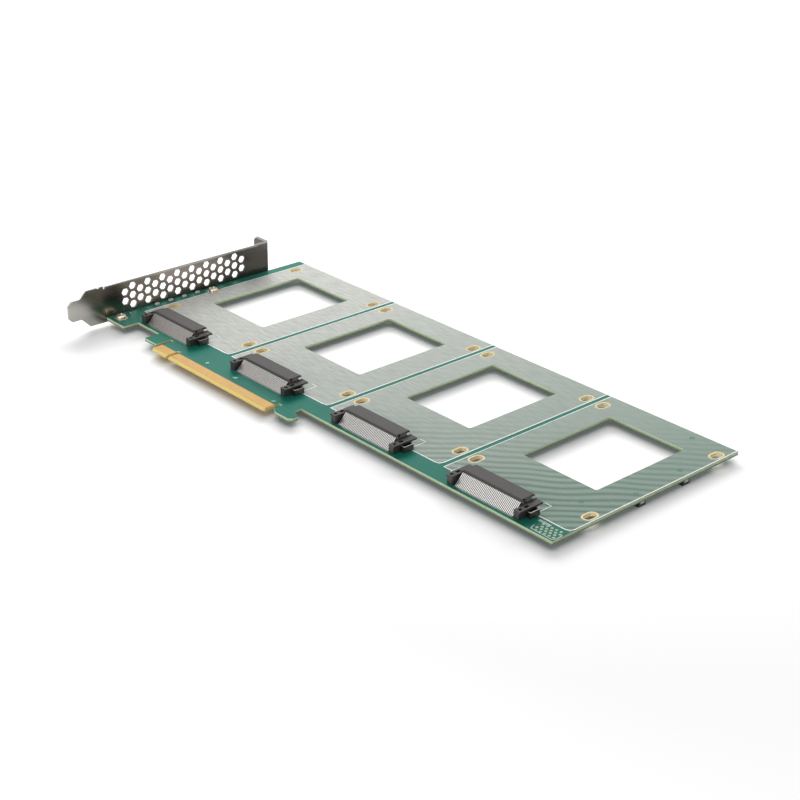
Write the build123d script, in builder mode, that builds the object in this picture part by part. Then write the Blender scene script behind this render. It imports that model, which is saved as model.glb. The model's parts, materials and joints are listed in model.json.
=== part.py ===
from build123d import *
import os

# Adapter card that carries four 2.5 inch drives flat on its component side.
# Millimetres. +X runs along the card away from the bracket, +Y from the edge
# connector to the far long edge, +Z out of the component side. The origin is
# under the middle of the card, at the height that it rests on.

# Drives: each lies over one cell of the board and is held by four screws.
drive_count = 4
drive_pitch = 71.2
drive_hole_span_x = 61.72
drive_hole_span_y = 76.60
drive_hole_radius = 1.9

# Board outline.
board_thickness = 1.57
board_depth = 111.15
first_hole_inset = 8.9
last_hole_inset = 3.7
hole_row_inset = 24.8

# One window is cut under each drive.
window_width = 40.2
window_depth = 53.9
window_corner = 0.7
window_shift_x = -1.3
window_shift_y = 5.75

# Edge connector and the steps beside it, along X from the board's bracket end.
finger_drop = 12.7
step_drop = 8.2
foot_step_length = 14.95
guide_step_start = 32.8
guide_step_length = 9.3
finger_start = 44.8
finger_length = 85.2
finger_corner = 1.0
finger_bevel_height = 1.3
finger_bevel_depth = 0.45
key_start = 11.65
key_width = 1.9
key_depth = 8.25

# Retention hook at the far end of the edge connector.
hook_gap = 2.3
hook_gap_depth = 8.8
hook_stem_width = 7.9
hook_reach = 13.2
hook_rise = 2.3
hook_nose = 1.6
hook_toe = 3.4
hook_barb_height = 4.6
hook_barb_slope = 2.1

# Gold contact pads of the edge connector.
pad_pitch = 1.0
pad_width = 0.7
pad_length = 4.6
pad_thickness = 0.05
pad_edge_gap = 0.15
pads_before_key = 11
pads_after_key = 71
first_pad_inset = 0.75
pad_key_gap = 0.4

# Slot bracket: one sheet, cut and folded.
sheet = 0.86
bracket_gap = 0.3
bracket_width = 18.42
bracket_height = 120.02
bracket_tab_y = 66.4
bracket_fold = 1.16
tab_length = 11.43
tab_corner = 2.0
tab_slot_radius = 2.21
tab_slot_inset = 6.35
tab_slot_depth = 4.6
tongue_width = 10.19
tongue_length = 7.0
tongue_rise = 4.73
tongue_corner = 2.0
lip_length = 1.96
lip_start_y = -32.9
lip_end_y = 58.5
relief_width = 0.8
relief_depth = 1.6
notch_y = -36.4
notch_width = 1.3
notch_depth = 1.0

# Hexagonal vents, in columns of two and three.
vent_columns = 17
vent_column_pitch = 4.4
vent_row_pitch = 4.75
vent_across_flats = 3.6
vent_middle_y = 13.7
vent_middle_rise = 7.7

# Lugs under the board and the screws that hold it to them.
lug_places_y = (-27.9, 26.9)
lug_width = 8.4
lug_screw_inset = 5.3
lug_overhang = 3.9
lug_corner = 1.6
lug_hole_radius = 1.5
board_screw_hole_radius = 1.7
screw_shank_radius = 1.45
screw_length = 4.0
screw_head_radius = 2.5
screw_head_top_radius = 2.0
screw_head_height = 1.9

# Drive receptacle, measured from its cell's first screw hole.
receptacle_left = 9.8
receptacle_width = 33.9
receptacle_back = -18.2
receptacle_front = -10.5
receptacle_height = 5.6
receptacle_lead_in = 0.5
receptacle_back_slope = 0.5
receptacle_end_slope = 1.2
ear_width = 3.3
ear_back = -23.2
ear_height = 3.8
ear_plate = 0.8
ear_undercut = 0.6
ear_undercut_back = -12.9
ear_pocket_width = 1.3
ear_pocket_depth = 1.6
ear_pocket_shift = 0.1
ear_pockets = ((-21.5, 1.5), (-18.0, 2.3))
nick_width = 1.1
nick_depth = 1.0
nicks = ((-16.7, 1.4), (-11.7, 2.4))
socket_roof = 0.85
socket_height = 2.4
socket_depth = 5.6
socket_side = 0.6
socket_key_width = 1.7
socket_key_drop = 0.9

# Receptacle contacts: flat strips that slope from the back wall down to the board.
contact_count = 40
contact_pitch = 0.8
contact_width = 0.6
contact_thickness = 0.4
contact_inset = 0.5
contact_roof = 0.6
contact_foot_y = -22.5

# Metal hold-down at each end of a receptacle.
clip_reach = 2.4
clip_height = 2.8
clip_sheet = 0.3
clip_middle_y = -16.6
clip_span = 5.2

# Status lamps beside the bracket.
lamp_places_y = (-4.9, 3.2, 11.3, 19.4)
lamp_inset = 1.9
lamp_length = 2.0
lamp_width = 1.25
lamp_height = 0.8

# Parts on the underside, with their places from a cell's first screw hole.
power_capacitor_size = (7.3, 4.3, 2.6)
power_capacitor_edge = 0.6
free_end_capacitor_rows = (27.0, 54.0)
far_edge_capacitor_cells = (0, 2)
far_edge_capacitor_x = 31.0
inductor_size = (7.0, 6.6, 2.6)
regulator_size = (5.0, 6.0, 1.0)
converter_cells = (0, 1)
converter_x = 8.0
converter_y = 6.0
converter_gap = 4.0
load_switch_size = (4.9, 3.9, 1.4)
load_switch_x = 54.0
load_switch_y = -5.0
clock_chip_size = (5.0, 5.0, 0.9)
memory_chip_size = (3.0, 4.4, 1.1)
logic_cell = 1
logic_x = 4.0
logic_y = -14.0
logic_gap = 8.0

# Places that follow. The first cell's near left screw hole is the first datum,
# and the origin is then moved under the middle of the whole card.
datum_left = -first_hole_inset - bracket_gap - tab_length
datum_right = (drive_count - 1) * drive_pitch + drive_hole_span_x + last_hole_inset
datum_far = board_depth - hole_row_inset
datum_near = bracket_tab_y - bracket_height
first_cell_x = -(datum_left + datum_right) / 2
near_row_y = -(datum_far + datum_near) / 2

rest_height = max(power_capacitor_size[2], inductor_size[2])
board_bottom = rest_height
board_top = board_bottom + board_thickness
board_left = first_cell_x - first_hole_inset
board_right = first_cell_x + datum_right
board_near = near_row_y - hole_row_inset
board_far = board_near + board_depth

finger_left = board_left + finger_start
finger_right = finger_left + finger_length
finger_bottom = board_near - finger_drop
step_bottom = board_near - step_drop

bracket_inner = board_left - bracket_gap
bracket_outer = bracket_inner - sheet
bracket_bottom = board_bottom - sheet
bracket_top = bracket_bottom + bracket_width
tab_y = near_row_y + bracket_tab_y
tongue_tip = tab_y - bracket_height
lug_end = bracket_inner + lug_screw_inset + lug_overhang

body_back = near_row_y + receptacle_back
body_front = near_row_y + receptacle_front
roof_z = board_top + receptacle_height
socket_top = roof_z - socket_roof
ear_top = board_top + ear_height

cells = [first_cell_x + drive_pitch * index for index in range(drive_count)]
screw_places = [(bracket_inner + lug_screw_inset, near_row_y + y) for y in lug_places_y]


def write(piece, name):
    """Label one finished piece and write it to its own file."""
    piece.part.label = name
    export_step(piece.part, f"parts/{name}.step")


def span(low_x, high_x, low_y, high_y, mode=Mode.ADD):
    """Rectangle between two corners, in the sketch that is open."""
    with Locations(((low_x + high_x) / 2, (low_y + high_y) / 2)):
        Rectangle(high_x - low_x, high_y - low_y, mode=mode)


def fold_profile(height, reach, downwards):
    """Section of a strip folded inwards off the bracket's plate, on the XZ plane.

    The outside of the fold lies at the given height, and the strip reaches that far from
    the plate's outer face.
    """
    turn = -1 if downwards else 1
    start = height - turn * bracket_fold
    underside = height - turn * sheet
    with BuildLine() as section:
        RadiusArc(
            (bracket_outer, start), (bracket_outer + bracket_fold, height), turn * bracket_fold
        )
        Polyline(
            (bracket_outer + bracket_fold, height),
            (bracket_outer + reach, height),
            (bracket_outer + reach, underside),
            (bracket_inner, underside),
            (bracket_inner, start),
            (bracket_outer, start),
        )
    make_face(section.edges())


def contact_profile():
    """Section of one receptacle contact on the YZ plane, with its foot on the board."""
    start_y = body_back + contact_inset
    start_z = roof_z - contact_roof
    foot_y = near_row_y + contact_foot_y
    with BuildLine() as section:
        Polyline(
            (start_y, start_z),
            (foot_y, board_top),
            (foot_y + contact_thickness, board_top),
            (start_y + contact_thickness, start_z),
            close=True,
        )
    make_face(section.edges())


def chips(places, size):
    """Rectangular parts soldered under the board, in the part that is open."""
    with BuildSketch(Plane.XY.offset(board_bottom)) as footprints:
        with Locations(*places):
            Rectangle(size[0], size[1])
    extrude(footprints.sketch, amount=-size[2])


os.makedirs("parts", exist_ok=True)


# Circuit board: body, steps, edge connector and hook are one outline.
with BuildPart() as circuit_board:
    with BuildSketch(Plane.XY.offset(board_bottom)) as board_face:
        span(board_left, board_right, board_near, board_far)
        span(board_left, board_left + foot_step_length, step_bottom, board_near)
        guide_left = board_left + guide_step_start
        span(guide_left, guide_left + guide_step_length, step_bottom, board_near)
        span(finger_left, finger_right, finger_bottom, board_near)
        chamfer(board_face.vertices().group_by(Axis.Y)[0], finger_corner)
        # The hook hangs beside the fingers, and its barb points along the card.
        stem_left = finger_right + hook_gap
        stem_right = stem_left + hook_stem_width
        hook_right = stem_left + hook_reach
        hook_bottom = finger_bottom + hook_rise
        barb_top = hook_bottom + hook_barb_height
        with BuildLine():
            Polyline(
                (stem_left, board_near),
                (stem_left, hook_bottom + hook_nose),
                (stem_left + hook_toe, hook_bottom),
                (hook_right - hook_nose, hook_bottom),
                (hook_right, hook_bottom + hook_nose),
                (hook_right, barb_top),
                (stem_right, barb_top + hook_barb_slope),
                (stem_right, board_near),
                close=True,
            )
        make_face()
        span(finger_right, stem_right, finger_bottom + hook_gap_depth, board_near)
        # Key slot, round at its blind end.
        key_middle = finger_left + key_start + key_width / 2
        key_top = finger_bottom + key_depth - key_width / 2
        span(
            key_middle - key_width / 2, key_middle + key_width / 2, finger_bottom, key_top,
            Mode.SUBTRACT,
        )
        with Locations((key_middle, key_top)):
            Circle(key_width / 2, mode=Mode.SUBTRACT)
        for cell_x in cells:
            middle_x = cell_x + drive_hole_span_x / 2
            middle_y = near_row_y + drive_hole_span_y / 2
            with Locations((middle_x, middle_y)):
                with GridLocations(drive_hole_span_x, drive_hole_span_y, 2, 2):
                    Circle(drive_hole_radius, mode=Mode.SUBTRACT)
            with BuildSketch(mode=Mode.PRIVATE) as window:
                Rectangle(window_width, window_depth)
                chamfer(window.vertices(), window_corner)
            with Locations((middle_x + window_shift_x, middle_y + window_shift_y)):
                add(window.sketch, mode=Mode.SUBTRACT)
        with Locations(*screw_places):
            Circle(board_screw_hole_radius, mode=Mode.SUBTRACT)
    extrude(amount=board_thickness)
    # The lower edge of the fingers is bevelled on both faces.
    with BuildSketch(Plane.YZ.offset(finger_left)):
        for face_z, inward in ((board_bottom, 1), (board_top, -1)):
            with BuildLine():
                Polyline(
                    (finger_bottom, face_z),
                    (finger_bottom + finger_bevel_height, face_z),
                    (finger_bottom, face_z + inward * finger_bevel_depth),
                    close=True,
                )
            make_face()
    extrude(amount=finger_length, mode=Mode.SUBTRACT)
write(circuit_board, "circuit_board")


# Gold pads on both faces of the edge connector, either side of the key.
first_pad_x = finger_left + first_pad_inset
after_key_x = finger_left + key_start + key_width + pad_key_gap
pad_columns = [first_pad_x + index * pad_pitch for index in range(pads_before_key)]
pad_columns += [after_key_x + index * pad_pitch for index in range(pads_after_key)]
pad_middle_y = finger_bottom + finger_bevel_height + pad_edge_gap + pad_length / 2
pad_faces = {
    "edge_contacts_component_side": (board_top, pad_thickness),
    "edge_contacts_solder_side": (board_bottom, -pad_thickness),
}
for pad_name, (pad_z, pad_rise) in pad_faces.items():
    with BuildPart() as edge_contacts:
        with BuildSketch(Plane.XY.offset(pad_z)):
            with Locations(*[(x, pad_middle_y) for x in pad_columns]):
                Rectangle(pad_width, pad_length)
        extrude(amount=pad_rise)
    write(edge_contacts, pad_name)


# Slot bracket: plate with vents, tongue, screw tab, folded lip and two lugs.
with BuildPart() as io_bracket:
    with BuildSketch(Plane.YZ.offset(bracket_outer)):
        tongue_root = tongue_tip + tongue_length
        tongue_bottom = bracket_bottom + tongue_rise
        tongue_top = tongue_bottom + tongue_width
        shoulder_top = tongue_root + bracket_top - tongue_top
        shoulder_bottom = tongue_root + tongue_rise
        with BuildLine():
            Polyline(
                (tongue_tip, tongue_bottom + tongue_corner),
                (tongue_tip + tongue_corner, tongue_bottom),
                (tongue_root, tongue_bottom),
                (shoulder_bottom, bracket_bottom),
                (tab_y, bracket_bottom),
                (tab_y, bracket_top),
                (shoulder_top, bracket_top),
                (tongue_root, tongue_top),
                (tongue_tip + tongue_corner, tongue_top),
                (tongue_tip, tongue_top - tongue_corner),
                close=True,
            )
        make_face()
        # The top edge gives way to the folded lip, with a relief slot before it.
        lip_start = near_row_y + lip_start_y
        lip_end = near_row_y + lip_end_y
        span(lip_start, lip_end, bracket_top - bracket_fold, bracket_top, Mode.SUBTRACT)
        span(
            lip_start - relief_width, lip_start, bracket_top - relief_depth, bracket_top,
            Mode.SUBTRACT,
        )
        notch_middle = near_row_y + notch_y
        with BuildLine():
            Polyline(
                (notch_middle - notch_width / 2, bracket_top),
                (notch_middle, bracket_top - notch_depth),
                (notch_middle + notch_width / 2, bracket_top),
                close=True,
            )
        make_face(mode=Mode.SUBTRACT)
        # Each lug is folded off the lower edge.
        for lug_y in lug_places_y:
            lug_middle = near_row_y + lug_y
            span(
                lug_middle - lug_width / 2, lug_middle + lug_width / 2,
                bracket_bottom, bracket_bottom + bracket_fold, Mode.SUBTRACT,
            )
        # Columns of two and three vents nest into each other.
        vent_middle_z = board_top + vent_middle_rise
        vents = []
        for column in range(vent_columns):
            from_middle = column - (vent_columns - 1) / 2
            vent_y = near_row_y + vent_middle_y + from_middle * vent_column_pitch
            rows = (-0.5, 0.5) if column % 2 == 0 else (-1, 0, 1)
            vents += [(vent_y, vent_middle_z + row * vent_row_pitch) for row in rows]
        with Locations(*vents):
            RegularPolygon(vent_across_flats / 2, 6, major_radius=False, mode=Mode.SUBTRACT)
    extrude(amount=sheet)
    with BuildSketch(Plane.XZ.offset(-lip_end)):
        fold_profile(bracket_top, lip_length, downwards=False)
    extrude(amount=lip_end - lip_start)
    for lug_y in lug_places_y:
        lug_middle = near_row_y + lug_y
        with BuildSketch(Plane.XZ.offset(-lug_middle - lug_width / 2)):
            fold_profile(bracket_bottom, lug_end - bracket_outer, downwards=True)
        extrude(amount=lug_width)
    chamfer(io_bracket.edges().filter_by(Axis.Z).group_by(Axis.X)[-1], lug_corner)
    with BuildSketch(Plane.XY.offset(bracket_bottom)):
        with Locations(*screw_places):
            Circle(lug_hole_radius)
    extrude(amount=sheet, mode=Mode.SUBTRACT)
    # Screw tab with its open slot, folded away from the board.
    with BuildSketch(Plane.XZ.offset(-tab_y)) as tab_face:
        tab_end = bracket_inner - tab_length
        span(tab_end, bracket_inner, bracket_bottom, bracket_top)
        chamfer(tab_face.vertices().group_by(Axis.X)[0], tab_corner)
        slot_x = bracket_outer - tab_slot_inset
        slot_z = bracket_bottom + tab_slot_depth
        span(
            slot_x - tab_slot_radius, slot_x + tab_slot_radius, bracket_bottom, slot_z,
            Mode.SUBTRACT,
        )
        with Locations((slot_x, slot_z)):
            Circle(tab_slot_radius, mode=Mode.SUBTRACT)
    extrude(amount=sheet)
    tab_fold = io_bracket.edges().filter_by(Axis.Z).group_by(Axis.Y)[-1].sort_by(Axis.X)[-1]
    fillet(tab_fold, bracket_fold)
write(io_bracket, "io_bracket")


# Two pan-head screws through the board into the bracket's lugs.
with BuildPart() as bracket_screws:
    for x, y in screw_places:
        with BuildSketch(Plane((x, y, board_top), x_dir=(1, 0, 0), z_dir=(0, -1, 0))):
            with BuildLine():
                Polyline(
                    (0, screw_head_height),
                    (0, -screw_length),
                    (screw_shank_radius, -screw_length),
                    (screw_shank_radius, 0),
                    (screw_head_radius, 0),
                    (screw_head_top_radius, screw_head_height),
                    close=True,
                )
            make_face()
        revolve(axis=Axis((x, y, 0), (0, 0, 1)))
write(bracket_screws, "bracket_screws")


# Drive receptacles with their contacts and hold-downs, one set for each cell.
for number, cell_x in enumerate(cells, start=1):
    body_left = cell_x + receptacle_left
    body_right = body_left + receptacle_width
    body_middle = (body_left + body_right) / 2
    contact_row = [
        body_middle + (index - (contact_count - 1) / 2) * contact_pitch
        for index in range(contact_count)
    ]
    contact_left = contact_row[0] - contact_width / 2
    contact_right = contact_row[-1] + contact_width / 2

    with BuildPart() as receptacle:
        with BuildSketch(Plane.YZ.offset(body_left)):
            with BuildLine():
                Polyline(
                    (body_back, board_top),
                    (body_front, board_top),
                    (body_front, roof_z - receptacle_lead_in),
                    (body_front - receptacle_lead_in, roof_z),
                    (body_back + receptacle_back_slope, roof_z),
                    (body_back, roof_z - receptacle_back_slope),
                    close=True,
                )
            make_face()
        extrude(amount=receptacle_width)
        # Ears stand beside the contacts behind and run forward as guide arms.
        for side, inner in ((-1, body_left), (1, body_right)):
            outer = inner + side * ear_width
            waist = outer - side * ear_undercut
            ear_y = (near_row_y + ear_back, body_front)
            with BuildSketch(Plane.XY.offset(board_top)):
                span(min(inner, waist), max(inner, waist), near_row_y + ear_back,
                     near_row_y + ear_undercut_back)
            extrude(amount=ear_height - ear_plate)
            with BuildSketch(Plane.XY.offset(ear_top - ear_plate)):
                span(min(inner, outer), max(inner, outer), *ear_y)
            extrude(amount=ear_plate)
            pocket_x = (inner + outer) / 2 + side * ear_pocket_shift
            with BuildSketch(Plane.XY.offset(ear_top)):
                for pocket_y, pocket_length in ear_pockets:
                    with Locations((pocket_x, near_row_y + pocket_y)):
                        Rectangle(ear_pocket_width, pocket_length)
            extrude(amount=-ear_pocket_depth, mode=Mode.SUBTRACT)
            # The body's end falls to the ear in a slope, with a nick at each side of it.
            with BuildSketch(Plane.XZ.offset(-body_front)):
                with BuildLine():
                    Polyline(
                        (inner - side * receptacle_end_slope, roof_z),
                        (inner, roof_z),
                        (inner, roof_z - receptacle_end_slope),
                        close=True,
                    )
                make_face()
            extrude(amount=body_front - body_back, mode=Mode.SUBTRACT)
            nick_x = inner - side * nick_width / 2
            with BuildSketch(Plane.XY.offset(roof_z)):
                for nick_y, nick_length in nicks:
                    with Locations((nick_x, near_row_y + nick_y)):
                        Rectangle(nick_width, nick_length)
            extrude(amount=-nick_depth - receptacle_end_slope / 2, mode=Mode.SUBTRACT)
        # Socket for the drive's plug, with the deeper end that keys it.
        socket_left = body_left + socket_side
        socket_right = body_right - socket_side
        with BuildSketch(Plane.XZ.offset(-body_front)):
            span(socket_left, socket_right, socket_top - socket_height, socket_top)
            span(socket_right - socket_key_width, socket_right,
                 socket_top - socket_height - socket_key_drop, socket_top)
        extrude(amount=socket_depth, mode=Mode.SUBTRACT)
        # The contacts are held in one groove along the back wall.
        with BuildSketch(Plane.YZ.offset(contact_left)):
            contact_profile()
        extrude(amount=contact_right - contact_left, mode=Mode.SUBTRACT)
    write(receptacle, f"drive_receptacle_{number}")

    with BuildPart() as contacts:
        with BuildSketch(Plane.YZ.offset(contact_left)):
            contact_profile()
        strip = extrude(amount=contact_width)
        with Locations(*[Location((x - contact_row[0], 0, 0)) for x in contact_row[1:]]):
            add(strip)
    write(contacts, f"receptacle_contacts_{number}")

    with BuildPart() as hold_downs:
        clip_low = near_row_y + clip_middle_y - clip_span / 2
        clip_high = clip_low + clip_span
        with BuildSketch(Plane.XY.offset(board_top)):
            for side, inner in ((-1, body_left), (1, body_right)):
                root = inner + side * (ear_width - ear_undercut)
                end = root + side * clip_reach
                span(min(root, end), max(root, end), clip_low, clip_high)
                wall = end - side * clip_sheet
                span(min(root, wall), max(root, wall), clip_low + clip_sheet,
                     clip_high - clip_sheet, Mode.SUBTRACT)
        extrude(amount=clip_height)
    write(hold_downs, f"receptacle_hold_downs_{number}")


# Status lamps that shine out through the bracket's vents.
with BuildPart() as status_lamps:
    with BuildSketch(Plane.XY.offset(board_top)):
        with Locations(*[(board_left + lamp_inset, near_row_y + y) for y in lamp_places_y]):
            Rectangle(lamp_width, lamp_length)
    extrude(amount=lamp_height)
write(status_lamps, "status_lamps")


# Capacitors on the underside: two stand at the free end and two along the far edge.
free_end_x = board_right - power_capacitor_edge - power_capacitor_size[0] / 2
far_edge_y = board_far - power_capacitor_edge - power_capacitor_size[1] / 2
with BuildPart() as power_capacitors:
    chips([(free_end_x, near_row_y + y) for y in free_end_capacitor_rows]
          + [(cells[index] + far_edge_capacitor_x, far_edge_y)
             for index in far_edge_capacitor_cells], power_capacitor_size)
write(power_capacitors, "power_capacitors")

# Each converter is an inductor with its regulator beside it.
regulator_x = converter_x + inductor_size[0] / 2 + converter_gap + regulator_size[0] / 2
with BuildPart() as power_inductors:
    chips([(cells[index] + converter_x, near_row_y + converter_y) for index in converter_cells],
          inductor_size)
write(power_inductors, "power_inductors")

with BuildPart() as voltage_regulators:
    chips([(cells[index] + regulator_x, near_row_y + converter_y) for index in converter_cells],
          regulator_size)
write(voltage_regulators, "voltage_regulators")

# One load switch feeds each drive.
with BuildPart() as load_switches:
    chips([(cell_x + load_switch_x, near_row_y + load_switch_y) for cell_x in cells],
          load_switch_size)
write(load_switches, "load_switches")

# The clock chip, with the memory chip beside it.
with BuildPart() as clock_chip:
    chips([(cells[logic_cell] + logic_x, near_row_y + logic_y)], clock_chip_size)
write(clock_chip, "clock_chip")

memory_x = logic_x + clock_chip_size[0] / 2 + logic_gap + memory_chip_size[0] / 2
with BuildPart() as memory_chip:
    chips([(cells[logic_cell] + memory_x, near_row_y + logic_y)], memory_chip_size)
write(memory_chip, "memory_chip")
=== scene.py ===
"""Looks of the drive adapter card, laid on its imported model.

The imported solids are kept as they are. This script gives each of them its finish, lays the
plated rings, the white print and the fine fittings on the board, and sets up the light and
the camera. Sizes are written in millimetres and turned to metres where a mesh is made.
"""

import json
import logging
import math
from dataclasses import dataclass, field
from enum import Enum
from typing import Any, Iterable, Sequence

import bmesh
import bpy
from mathutils import Matrix, Vector

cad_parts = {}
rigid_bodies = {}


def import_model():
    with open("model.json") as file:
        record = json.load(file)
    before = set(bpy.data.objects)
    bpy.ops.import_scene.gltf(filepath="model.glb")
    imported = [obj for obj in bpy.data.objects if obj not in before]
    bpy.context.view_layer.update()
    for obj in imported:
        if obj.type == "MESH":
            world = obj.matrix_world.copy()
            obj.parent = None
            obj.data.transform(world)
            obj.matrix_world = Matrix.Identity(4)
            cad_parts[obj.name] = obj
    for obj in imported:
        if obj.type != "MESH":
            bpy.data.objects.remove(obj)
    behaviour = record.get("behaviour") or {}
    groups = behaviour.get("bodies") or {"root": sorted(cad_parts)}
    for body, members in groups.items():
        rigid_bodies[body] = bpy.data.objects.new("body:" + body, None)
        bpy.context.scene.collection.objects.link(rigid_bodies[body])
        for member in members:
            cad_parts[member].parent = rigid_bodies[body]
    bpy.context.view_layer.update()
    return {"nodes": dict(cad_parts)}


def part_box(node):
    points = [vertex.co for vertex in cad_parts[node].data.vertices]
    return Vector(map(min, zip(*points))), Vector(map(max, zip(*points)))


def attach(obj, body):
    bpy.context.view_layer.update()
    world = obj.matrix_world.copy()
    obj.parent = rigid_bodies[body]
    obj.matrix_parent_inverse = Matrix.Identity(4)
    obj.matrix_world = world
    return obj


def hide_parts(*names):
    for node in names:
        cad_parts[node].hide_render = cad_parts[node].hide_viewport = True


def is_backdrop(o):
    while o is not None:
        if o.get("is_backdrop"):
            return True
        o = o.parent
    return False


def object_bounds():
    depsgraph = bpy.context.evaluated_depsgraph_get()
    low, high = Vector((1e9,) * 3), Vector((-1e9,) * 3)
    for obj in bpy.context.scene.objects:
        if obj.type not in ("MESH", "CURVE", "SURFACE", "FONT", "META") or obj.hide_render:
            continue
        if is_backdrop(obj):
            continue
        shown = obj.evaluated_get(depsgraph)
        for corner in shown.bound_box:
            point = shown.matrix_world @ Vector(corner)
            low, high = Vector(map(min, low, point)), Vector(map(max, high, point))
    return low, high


LOG = logging.getLogger("adapter_card")
MM = 0.001
CELLS = 4
WHITE_LIGHT = "#FFFFFF"
# A share from none to all, and the middle part of it, in which a soft change takes place.
WHOLE = (0.0, 1.0)
MIDDLE = (0.3, 0.7)

Point = tuple[float, float, float]
Flat = tuple[float, float]
Node = bpy.types.Node
Object = bpy.types.Object
Tree = bpy.types.NodeTree


def linear(tone: str) -> tuple[float, float, float, float]:
    """Turns an sRGB hex colour into the linear colour that a shader takes.

    Args:
        tone: Colour as "#RRGGBB".

    Returns:
        Linear red, green, blue and an alpha of 1.
    """
    parts = [int(tone[place:place + 2], 16) / 255 for place in (1, 3, 5)]
    light = [c / 12.92 if c <= 0.04045 else ((c + 0.055) / 1.055) ** 2.4 for c in parts]
    return light[0], light[1], light[2], 1.0


def between(given: Flat, wanted: Flat = WHOLE) -> dict[str, float]:
    """Returns the inputs with which a node turns one range of values into another."""
    return {"From Min": given[0], "From Max": given[1], "To Min": wanted[0], "To Max": wanted[1]}


class Graph:
    """A node tree that is built up from nothing."""

    family: str = "ShaderNode"

    def __init__(self, tree: Tree) -> None:
        """Takes a tree over and empties it."""
        self.tree = tree
        self.tree.nodes.clear()

    def add(self, kind: str, inputs: dict[Any, Any] | None = None, **settings: Any) -> Node:
        """Adds one node with its settings, values and links.

        Args:
            kind: The node's type name, where the tree's own family may be left out.
            inputs: Input name or number to what it gets, as feed takes it.
            settings: Property name to value.

        Returns:
            The new node.
        """
        node = self.tree.nodes.new(kind if "Node" in kind else self.family + kind)
        for name, value in settings.items():
            setattr(node, name, value)
        for key, value in (inputs or {}).items():
            self.feed(node.inputs[key], value)
        return node

    def feed(self, socket: bpy.types.NodeSocket, value: Any) -> None:
        """Gives an input its value or its link.

        Args:
            socket: The input.
            value: A plain value, a tone as "#RRGGBB", an output, a node whose first output in
                use is meant, or a list of such for an input that takes several.
        """
        if isinstance(value, list):
            for one in value:
                self.feed(socket, one)
        elif isinstance(value, Node):
            self.feed(socket, next(output for output in value.outputs if output.enabled))
        elif isinstance(value, bpy.types.NodeSocket):
            self.tree.links.new(value, socket)
        else:
            socket.default_value = linear(value) if isinstance(value, str) else value


class Side(Enum):
    """The two faces of the board."""

    COMPONENT = 1
    SOLDER = -1


@dataclass(frozen=True)
class Board:
    """Where the board lies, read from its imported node.

    The plan's own measure is in millimetres from the first cell's near left screw hole, on
    the component side, and every place on the card is written in it.
    """

    first_hole_inset: float = 8.9
    far_inset: float = 86.35
    cell_pitch: float = 71.2
    hole_span: Flat = (61.72, 76.60)
    thickness: float = 1.57
    screw_places: tuple[Flat, ...] = ((-3.9, -27.9), (-3.9, 26.9))

    def datum(self) -> Vector:
        """Returns the first screw hole's middle on the component side, in metres."""
        low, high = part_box("circuit_board")
        x = low.x + self.first_hole_inset * MM
        y = high.y - self.far_inset * MM
        return Vector((x, y, high.z))

    def place(self, x: float, y: float, z: float = 0.0) -> Vector:
        """Returns the point of the row frame, in metres, of a point of the plan."""
        return self.datum() + Vector((x, y, z)) * MM

    def cells(self) -> list[float]:
        """Returns each cell's distance along the card."""
        return [self.cell_pitch * index for index in range(CELLS)]

    def drive_holes(self, level: float = 0.0) -> list[Point]:
        """Returns the middles of the sixteen drive screw holes, at one level."""
        ends, sides = (0.0, self.hole_span[0]), (0.0, self.hole_span[1])
        return [(cell + x, y, level) for cell in self.cells() for x in ends for y in sides]


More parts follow.
